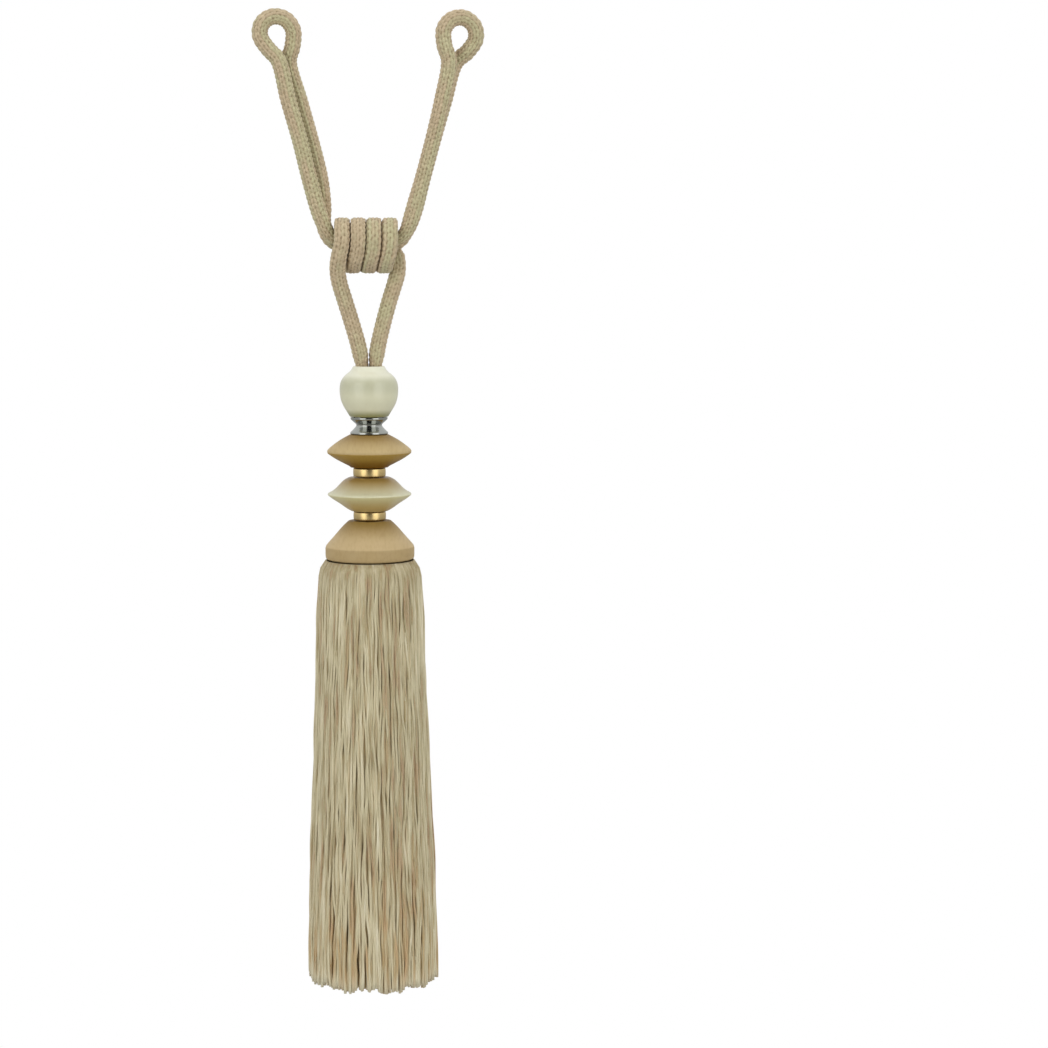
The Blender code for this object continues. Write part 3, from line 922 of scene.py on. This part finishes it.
@dataclass
class BeadStack:
    """The turned beads over the skirt, from the round bead down to the cap."""

    bore_radius: float = 4.4  # millimetres, as in all the tables here
    mouth_radius: float = 6.4
    funnel_depth: float = 9.0
    bead: Outline = (
        (7.3, 0.0, CRISP), (8.5, 2.3), (11.0, 4.0), (12.7, 6.2), (13.5, 8.4), (13.7, 11.6),
        (13.2, 15.4), (12.1, 18.3), (10.4, 21.0), (8.9, 23.45, CRISP),
    )
    spool: Outline = (
        (8.7, 0.0, CRISP), (8.6, 0.9, CRISP), (7.2, 2.2), (5.9, 3.3), (6.0, 4.1), (7.2, 5.5),
        (8.8, 7.0, CRISP), (8.9, 7.75, CRISP),
    )
    disc_upper: Outline = (
        (9.0, 0.0, CRISP), (13.8, 2.6), (17.7, 5.5), (19.3, 7.0, CRISP), (19.7, 7.7, CRISP),
        (19.5, 8.7, CRISP), (16.4, 11.0), (11.7, 13.5), (9.3, 14.7), (8.8, 15.3, CRISP),
    )
    disc_lower: Outline = (
        (9.6, 0.0, CRISP), (12.0, 1.2), (14.0, 3.3), (16.6, 6.0), (19.3, 7.4, CRISP),
        (19.6, 8.1, CRISP), (17.6, 9.8), (13.9, 12.1), (10.9, 14.4), (8.6, 15.7, CRISP),
    )
    cap: Outline = (
        (9.9, 0.0, CRISP), (12.9, 2.8), (16.4, 7.0), (19.2, 10.1), (20.5, 11.7, CRISP),
        (20.8, 12.8, CRISP), (20.8, 16.9), (20.5, 17.7), (19.8, 18.1, CRISP),
    )
    ring_edge: float = 0.4

    @staticmethod
    def level(node: str, depth: float) -> float:
        """Returns the height, in metres, at a depth in millimetres below a node's top."""
        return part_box(node)[1][2] - depth * MM

    def ring(self, node: str) -> Outline:
        """Returns the outline of a plain ring that fills its node's box."""
        low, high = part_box(node)
        radius = (high[0] - low[0]) / 2 / MM
        depth = (high[2] - low[2]) / MM
        inner, edge = radius - self.ring_edge, self.ring_edge
        return (inner, 0.0), (radius, edge), (radius, depth - edge), (inner, depth)

    def build(self) -> None:
        """Builds every turned piece with its finish."""
        # Painted light and shade: each lacquer has colours for faces above its widest line and shaded ones
        # below it, most of them darker towards the bore where the pieces beside it shade it; the bead's
        # pale neck and dark foot are painted light and shade too.
        ivory = LacquerFinish(
            "ivory_satin", Shades((0.86, 0.85, 0.67), (0.585, 0.58, 0.405), 10.4, 13.4),
            Shades((0.27, 0.27, 0.11), (0.74, 0.725, 0.52), 9.0, 11.4), self.level("bead", 11.6),
            roughness=0.32, coat=0.35, grain=0.03, specular=0.5, turn=3.0 * MM,
        ).make()
        cream = LacquerFinish(
            "cream_satin", Shades((0.40, 0.26, 0.07), (0.70, 0.68, 0.46), 10.8, 19.8),
            Shades((0.55, 0.40, 0.15), (0.66, 0.60, 0.32), 10.8, 19.8), self.level("disc_lower", 8.0),
            roughness=0.36, coat=0.2, grain=0.06, specular=0.5,
        ).make()
        wood = LacquerFinish(
            "waxed_wood", Shades((0.31, 0.19, 0.05), (0.56, 0.42, 0.205), 8.5, 19.4),
            Shades((0.20, 0.09, 0.004), (0.39, 0.24, 0.045), 8.5, 19.4), self.level("disc_upper", 8.3),
        ).make()
        wax = LacquerFinish(
            "waxed_cap", Shades((0.32, 0.205, 0.055), (0.58, 0.435, 0.23), 9.5, 18.5),
            Shades((0.20, 0.12, 0.04), (0.48, 0.35, 0.17), 9.5, 18.5), self.level("cap", 12.2),
        ).make()
        brass = MetalFinish("satin_brass", (0.68, 0.51, 0.23), (0.50, 0.35, 0.135), 0.32).make()
        chrome = MetalFinish("dark_chrome", (0.40, 0.41, 0.38), (0.22, 0.23, 0.21), 0.12).make()
        rows = (
            ("bead", Slot.IVORY, ivory, self.bead),
            ("spool", Slot.CHROME, chrome, self.spool),
            ("disc_upper", Slot.WOOD, wood, self.disc_upper),
            ("ring_upper", Slot.BRASS, brass, self.ring("ring_upper")),
            ("disc_lower", Slot.CREAM, cream, self.disc_lower),
            ("ring_lower", Slot.BRASS, brass, self.ring("ring_lower")),
            ("cap", Slot.WOOD, wax, self.cap),
        )
        for node, slot, material, outline in rows:
            depth = outline[-1][1]
            bore = ((self.bore_radius, depth, CRISP), (self.bore_radius, 0.0, CRISP))
            if node == "bead":
                bore = (bore[0], (self.bore_radius, self.funnel_depth), (self.mouth_radius, 0.0, CRISP))
            TurnedPiece(node, slot, material, outline, bore).build()


# ----- skirt

def ripple(angle: float, ripples: Triples) -> float:
    """Returns the sum at an angle of ripples, each of a count, a size and a phase."""
    return sum(size * math.sin(count * angle + phase) for count, size, phase in ripples)


@dataclass(frozen=True)
class Sleeve:
    """One piece of the skirt, of yarns in layers one inside the other."""

    name: str
    seed: int  # of its random numbers
    sides: int  # of each yarn
    rings: int  # along each yarn
    gap_shade_share: float  # how far its shades lean to the deep one, the painted shade of the gaps
    layers: Triples  # yarns, share of the skirt's radius, stray


@dataclass(frozen=True)
class YarnWander:
    """How one yarn strays from hanging straight."""

    angle: float
    share: float
    radius: float
    cut: float
    waves: Triples  # slow, quick and in depth, as drawn below


@dataclass
class Skirt:
    """The skirt of soft yarns that hang from under the cap."""

    length: float = 197.2 * MM
    backing: float = 1.6 * MM
    yarn_radius: float = 0.62 * MM
    tucked: float = 1.45 * MM  # how far the yarns reach up into the backing
    gathered: float = 14.0 * MM  # over this depth they come free of the cap and start to stray
    drawn_in: float = 0.3 * MM  # how far the free yarns keep inside the flare
    flare_rows: tuple[tuple[float, float], ...] = (  # depth, radius in millimetres
        (-1.6, 20.4), (-0.9, 21.4), (-0.2, 22.0), (1.1, 22.7), (2.5, 23.2), (5.3, 24.0), (12.0, 24.5),
        (24.0, 25.3), (60.0, 26.3), (100.0, 27.9), (140.0, 29.8), (176.0, 30.7), (205.0, 31.0),
    )
    cut_spread: float = 0.9 * MM
    shaggy: float = 1.5 * MM  # how far whole locks are cut longer or shorter
    # ripples round the skirt, each of a count, a size and a phase
    lock_ripples: Triples = ((9, 0.5, 0.7), (23, 0.5, 2.1), (1, 0.5, math.pi / 2))
    swell_ripples: Triples = ((5, 0.012, 1.0), (11, 0.009, 2.5))
    drift_ripples: Triples = ((7, 0.014, 0.4), (3, 0.010, 5.0))
    # a yarn's slow, quick and depth wave: how many down its length, and how far in millimetres
    wave_rows: tuple[tuple[tuple[float, float], tuple[float, float]], ...] = (
        ((1.2, 2.6), (0.4, 1.3)), ((5.0, 9.0), (0.1, 0.42)), ((2.0, 5.0), (0.1, 0.4)),
    )
    sleeves: tuple[Sleeve, ...] = (
        Sleeve("skirt_outer", 11, 6, 54, 0.0, ((212, 0.975, 1.0),)),
        Sleeve("skirt_second", 17, 6, 50, 0.25, ((204, 0.95, 1.0),)),
        Sleeve("skirt_middle", 23, 5, 38, 0.8, ((180, 0.915, 0.9), (150, 0.86, 0.7), (120, 0.79, 0.7))),
        Sleeve("skirt_core", 37, 5, 14, 0.8, (
            (100, 0.715, 0.6), (88, 0.63, 0.6), (74, 0.54, 0.6), (60, 0.45, 0.5), (46, 0.35, 0.5),
            (30, 0.25, 0.4), (16, 0.15, 0.4), (6, 0.05, 0.3),
        )),
    )

    def flare(self, depth: float) -> float:
        """Returns the skirt's radius at a depth below the backing, both in metres."""
        at = depth / MM
        for (above, r_above), (below, r_below) in zip(self.flare_rows, self.flare_rows[1:]):
            if at <= below:
                return (r_above + (r_below - r_above) * (at - above) / (below - above)) * MM
        return self.flare_rows[-1][1] * MM

    def wander(self, sleeve: Sleeve) -> list[YarnWander]:
        """Draws lots for each yarn of a sleeve.

        Args:
            sleeve: the sleeve.

        Returns:
            One set of numbers for each yarn.
        """
        rng = random.Random(sleeve.seed)
        drawn = []
        for yarns, share, stray in sleeve.layers:
            for index in range(yarns):
                angle = math.tau * (index + rng.uniform(-0.3, 0.3)) / yarns
                drawn.append(YarnWander(
                    angle=angle,
                    share=share + rng.uniform(-0.012, 0.012),
                    radius=self.yarn_radius * rng.uniform(0.85, 1.15),
                    cut=rng.uniform(-self.cut_spread, self.cut_spread)
                    + ripple(angle, self.lock_ripples) * self.shaggy,
                    waves=tuple(
                        (rng.uniform(*counts), rng.uniform(*reaches) * MM * stray, rng.random())
                        for counts, reaches in self.wave_rows
                    ),
                ))
        return drawn

    def hang(self, yarn: YarnWander, depth: float, top: float) -> Vector:
        """Gives the centre of a yarn.

        Args:
            yarn: the yarn's own numbers.
            depth: how far below the backing.
            top: height of the backing's underside.

        Returns:
            The point.
        """
        grown = max(depth, 0.0) / self.length
        freed = ramp(depth, 0.0, self.gathered)
        slow, quick, deep = (
            reach * math.sin(math.tau * (count * grown + phase)) for count, reach, phase in yarn.waves
        )
        swell = ripple(yarn.angle, self.swell_ripples) * grown
        radius = yarn.share * self.flare(depth) * (1 + swell) + (deep - self.drawn_in) * freed
        drift = ripple(yarn.angle, self.drift_ripples) * grown
        angle = yarn.angle + drift + (slow + quick) * freed / max(radius, 3.0 * MM)
        return Vector((radius * math.cos(angle), radius * math.sin(angle), top - depth))

    def build_sleeve(self, sleeve: Sleeve) -> None:
        """Builds one piece of the skirt.

        Args:
            sleeve: what it is made of.
        """
        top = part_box("skirt")[1][2] - self.backing
        yarns = self.wander(sleeve)

        def place(number: int, around: float, along: float) -> Vector:
            """Gives a point of one yarn's skin, closed flat at both ends."""
            yarn = yarns[number]
            reached = ramp(along * sleeve.rings, 1.0, sleeve.rings - 1.0)
            depth = -self.tucked + (self.length + self.tucked + yarn.cut) * reached
            centre = self.hang(yarn, depth, top)
            closed = 0.0 if along in (0.0, 1.0) else yarn.radius
            angle = math.tau * around
            return centre + Vector((math.cos(angle), math.sin(angle), 0.0)) * closed

        finish = SkirtFinish(f"{sleeve.name}_yarn", len(yarns), self.length, sleeve.seed, sleeve.gap_shade_share)
        bm = TubeRoll(len(yarns), sleeve.sides, sleeve.rings).roll(place)
        stand_in(put_mesh(sleeve.name, bm, finish.make()), Slot.SKIRT, "skirt")

    def build(self) -> None:
        """Builds the skirt's sleeves, from the outside in."""
        for sleeve in self.sleeves:
            self.build_sleeve(sleeve)


# ----- studio

@dataclass
class Studio:
    """Pale floor, soft light from two tall boxes and from above, and the camera."""

    sensor: float = 36.0
    lens: float = 82.44  # a focal length of 2400 pixels on a frame 1048 pixels wide
    focal: float = 2400.0  # this and the next two in those pixels
    level_above: float = 247.0  # from the frame's middle up to the camera's own level
    tassel_left: float = 155.0  # and across to the tassel
    camera_place: Triple = (0.0, -1.120, -0.115)
    aim_z: float = -0.22  # the height that the lights face
    floor_z: float = -1.65
    floor_side: float = 30.0
    box_distance: float = 1.35  # of the two tall boxes, whose powers are in watts
    box_bearing: float = math.radians(42.0)
    box_size: tuple[float, float] = (0.95, 1.5)
    box_power: float = 6.0
    top_place: Triple = (0.0, -0.15, 1.1)
    top_size: tuple[float, float] = (1.2, 1.2)
    top_power: float = 3.5
    low_sky: Colour = (0.36, 0.35, 0.33)
    high_sky: Colour = (0.84, 0.85, 0.86)
    sky_turn: tuple[float, float] = (-0.7, 0.6)  # from low sky to high, where 1 is straight up
    front_sky: Colour = (0.03, 0.03, 0.03)  # behind the camera
    front_turn: tuple[float, float] = (-0.97, -0.86)  # from it to the rest, -1 straight behind

    def add_camera(self) -> None:
        """Adds the camera and makes it the scene's."""
        data = bpy.data.cameras.new("camera")
        data.lens = self.lens
        data.sensor_width = self.sensor
        camera = bpy.data.objects.new("camera", data)
        camera.location = self.camera_place
        pitch_down = math.atan(self.level_above / self.focal)
        yaw_right = math.atan(self.tassel_left / self.focal)
        camera.rotation_euler = (math.pi / 2 - pitch_down, 0.0, -yaw_right)
        bpy.context.collection.objects.link(camera)
        bpy.context.scene.camera = camera

    def add_lights(self) -> None:
        """Adds two tall boxes beside the camera and a wide one above, all facing the tassel."""
        aside = self.box_distance * math.sin(self.box_bearing)
        ahead = -self.box_distance * math.cos(self.box_bearing)
        for name, place, size, power in (
            ("left_box", (-aside, ahead, 0.0), self.box_size, self.box_power),
            ("right_box", (aside, ahead, 0.0), self.box_size, self.box_power),
            ("top_box", self.top_place, self.top_size, self.top_power),
        ):
            data = bpy.data.lights.new(name, "AREA")
            data.shape = "RECTANGLE"
            data.size, data.size_y = size
            data.energy = power
            light = bpy.data.objects.new(name, data)
            light.location = place
            aim = Vector((0.0, 0.0, self.aim_z)) - Vector(place)
            light.rotation_euler = aim.to_track_quat("-Z", "Y").to_euler()
            bpy.context.collection.objects.link(light)

    def add_world(self) -> None:
        """Adds soft light from all round, dimmer from below and from behind the camera."""
        world = bpy.data.worlds.new("studio")
        world.use_nodes = True
        bpy.context.scene.world = world
        shader = ShaderWriter(world.node_tree)
        way = shader.node("TexCoord", output="Generated")
        up = shader.axis(way, "Z").between(*self.sky_turn)
        flat = {0: shader.flattened(way)}
        bearing = shader.node("VectorMath", {"operation": "NORMALIZE"}, flat)
        elsewhere = shader.axis(bearing, "Y").between(*self.front_turn)
        tone = shader.blend(up, self.low_sky, self.high_sky)
        tone = shader.blend(elsewhere, self.front_sky, tone)
        seen = shader.node("LightPath", output="Is Camera Ray")
        tone = shader.blend(seen, tone, (1.0, 1.0, 1.0))
        shader.end(shader.node("Background", None, {"Color": tone, "Strength": 1.0}), "World")

    def add_floor(self) -> None:
        """Adds the plain pale floor far below the tassel."""
        bm = bmesh.new()
        bmesh.ops.create_grid(bm, x_segments=1, y_segments=1, size=self.floor_side / 2)
        bmesh.ops.translate(bm, verts=bm.verts, vec=(0.0, 0.0, self.floor_z))
        put_mesh("floor", bm, BackdropFinish("floor_white").make())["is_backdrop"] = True

    def build(self) -> None:
        """Sets up the whole studio."""
        bpy.context.scene.view_settings.view_transform = "Standard"
        self.add_camera()
        self.add_world()
        self.add_lights()
        self.add_floor()


def corners(bounds: tuple[Vector, Vector]) -> list[list[float]]:
    """Returns a box's two corners as plain lists."""
    return [list(corner) for corner in bounds]


def main() -> None:
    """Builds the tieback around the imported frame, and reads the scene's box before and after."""
    logging.basicConfig(level=logging.INFO, format="%(relativeCreated)6d ms %(message)s")
    cad_box = corners(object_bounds())
    Studio().build()
    embrace = Embrace()
    cords = (embrace.cord(), Hanger(embrace).cord())
    for cord in cords:
        cord.build(cords)
    BeadStack().build()
    Skirt().build()
    {"cad": cad_box, "visual": corners(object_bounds())}


if __name__ == "__main__":
    main()
